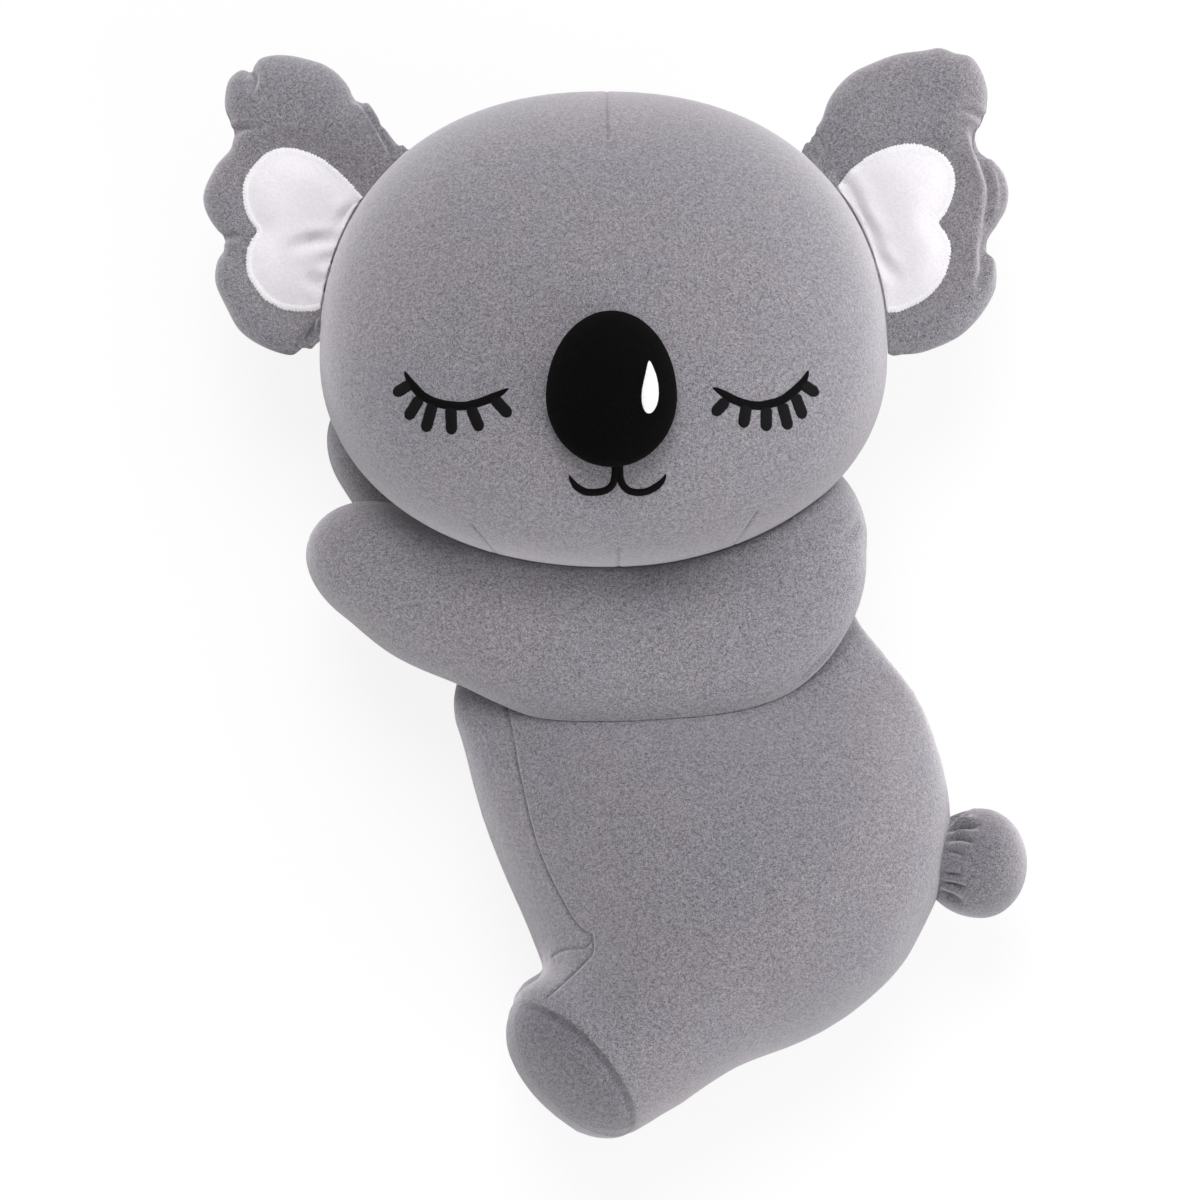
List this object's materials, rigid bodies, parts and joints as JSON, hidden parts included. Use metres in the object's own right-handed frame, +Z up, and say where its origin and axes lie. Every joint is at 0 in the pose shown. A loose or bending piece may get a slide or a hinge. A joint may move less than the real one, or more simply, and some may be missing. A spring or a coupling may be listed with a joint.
{
  "type": "plush koala",
  "caption": "Grey velvet plush koala that lies on its side with its face up, with white ear linings and a black nose.",
  "frame": {"origin": "on the floor, in the middle of the toy's outline", "axes": "+Z up from the floor towards the face, +Y towards the crown of the head, +X towards the back and the tail"},
  "size_m": [0.4155, 0.541, 0.2255],
  "materials": {
    "grey_velvet": "matte",
    "sole_velvet": "matte",
    "white_velvet": "matte",
    "white_thread": "satin",
    "black_velvet": "matte",
    "black_thread": "satin",
    "stuffing": "matte"
  },
  "bodies": {
    "torso": {"belly_gusset": "grey_velvet", "far_foot_sole": "sole_velvet", "far_leg_cover": "grey_velvet", "far_leg_stuffing": "stuffing", "near_foot_sole": "sole_velvet", "near_leg_cover": "grey_velvet", "near_leg_stuffing": "stuffing", "torso_far_panel": "grey_velvet", "torso_near_panel": "grey_velvet", "torso_stuffing": "stuffing"},
    "head": {"head_back_panel": "grey_velvet", "head_front_panel": "grey_velvet", "head_stuffing": "stuffing", "left_eye_embroidery": "black_thread", "mouth_embroidery": "black_thread", "nose_cover": "black_velvet", "nose_highlight": "white_thread", "nose_stuffing": "stuffing", "right_eye_embroidery": "black_thread"},
    "near_arm": {"near_arm_inner_panel": "grey_velvet", "near_arm_outer_panel": "grey_velvet", "near_arm_stuffing": "stuffing"},
    "far_arm": {"far_arm_inner_panel": "grey_velvet", "far_arm_outer_panel": "grey_velvet", "far_arm_stuffing": "stuffing"},
    "left_ear": {"left_ear_back_panel": "grey_velvet", "left_ear_front_panel": "grey_velvet", "left_ear_patch": "white_velvet", "left_ear_patch_stitching": "white_thread", "left_ear_stuffing": "stuffing"},
    "right_ear": {"right_ear_back_panel": "grey_velvet", "right_ear_front_panel": "grey_velvet", "right_ear_patch": "white_velvet", "right_ear_patch_stitching": "white_thread", "right_ear_stuffing": "stuffing"},
    "tail": {"tail_cover": "grey_velvet", "tail_stuffing": "stuffing"}
  },
  "joints": [
    {"name": "neck_lift", "type": "hinge", "parent": "torso", "child": "head", "pos_m": [-0.0058, -0.001, 0.128], "axis": [1, 0, 0], "range_deg": [0, 15], "stiffness_Nm_per_rad": 0.4},
    {"name": "near_arm_swing", "type": "hinge", "parent": "torso", "child": "near_arm", "pos_m": [0.126, 0.063, 0.064], "axis": [0, 0.866, 0.5], "range_deg": [0, 25], "stiffness_Nm_per_rad": 0.15},
    {"name": "far_arm_swing", "type": "hinge", "parent": "torso", "child": "far_arm", "pos_m": [0.126, 0.01, 0.028], "axis": [0, -0.3, 0.9539], "range_deg": [0, 10], "stiffness_Nm_per_rad": 0.15},
    {"name": "left_ear_fold", "type": "hinge", "parent": "head", "child": "left_ear", "pos_m": [-0.1343, 0.1825, 0.08604], "axis": [-0.4345, -0.8797, 0.1932], "range_deg": [-15, 15], "stiffness_Nm_per_rad": 0.2},
    {"name": "right_ear_fold", "type": "hinge", "parent": "head", "child": "right_ear", "pos_m": [0.1236, 0.1806, 0.08646], "axis": [0.4028, -0.8938, 0.197], "range_deg": [-15, 15], "stiffness_Nm_per_rad": 0.2},
    {"name": "tail_wag", "type": "hinge", "parent": "torso", "child": "tail", "pos_m": [0.1622, -0.156, 0.072], "axis": [0, 0, -1], "range_deg": [0, 15], "stiffness_Nm_per_rad": 0.05}
  ]
}
